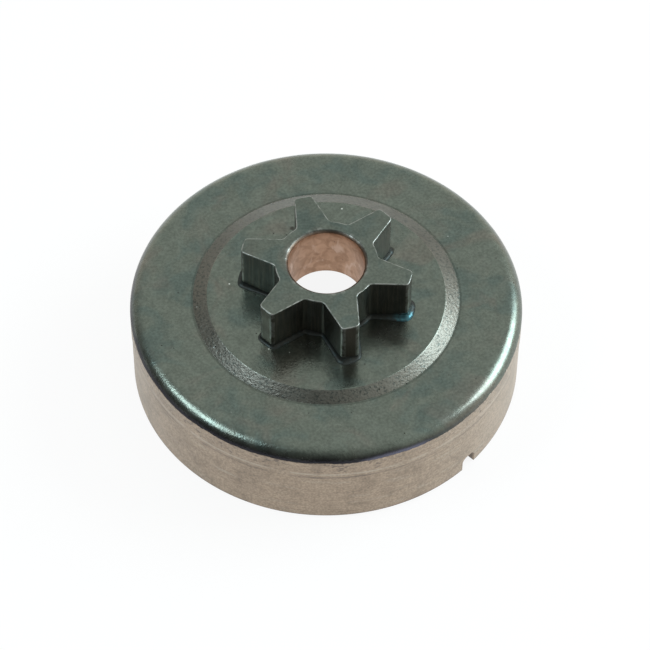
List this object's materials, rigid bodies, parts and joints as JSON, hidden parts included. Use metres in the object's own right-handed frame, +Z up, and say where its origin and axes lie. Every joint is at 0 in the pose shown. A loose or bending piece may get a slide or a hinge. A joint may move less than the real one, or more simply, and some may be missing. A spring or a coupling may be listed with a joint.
{
  "type": "chainsaw clutch drum",
  "caption": "Pressed steel clutch cup, open below, with a raised centre, a drive notch in its rim and a toothed chain sprocket brazed through its web and bored for a needle bearing.",
  "frame": {"origin": "centre of the rim's plane, on the axis of rotation", "axes": "+Z up along the axis from the rim to the sprocket; the picture looks along +Y and down, with +X to its right"},
  "size_m": [0.0672, 0.0672, 0.0271],
  "materials": {
    "cup_steel": "blackened satin on the face and shoulder, bare turned metal on the wall",
    "sprocket_steel": "hardened, blackened satin with bare worn edges",
    "braze_metal": "dull, heat stained"
  },
  "bodies": {
    "root": {"drum_cup": "cup_steel", "sprocket": "sprocket_steel", "braze": "braze_metal"}
  },
  "joints": []
}
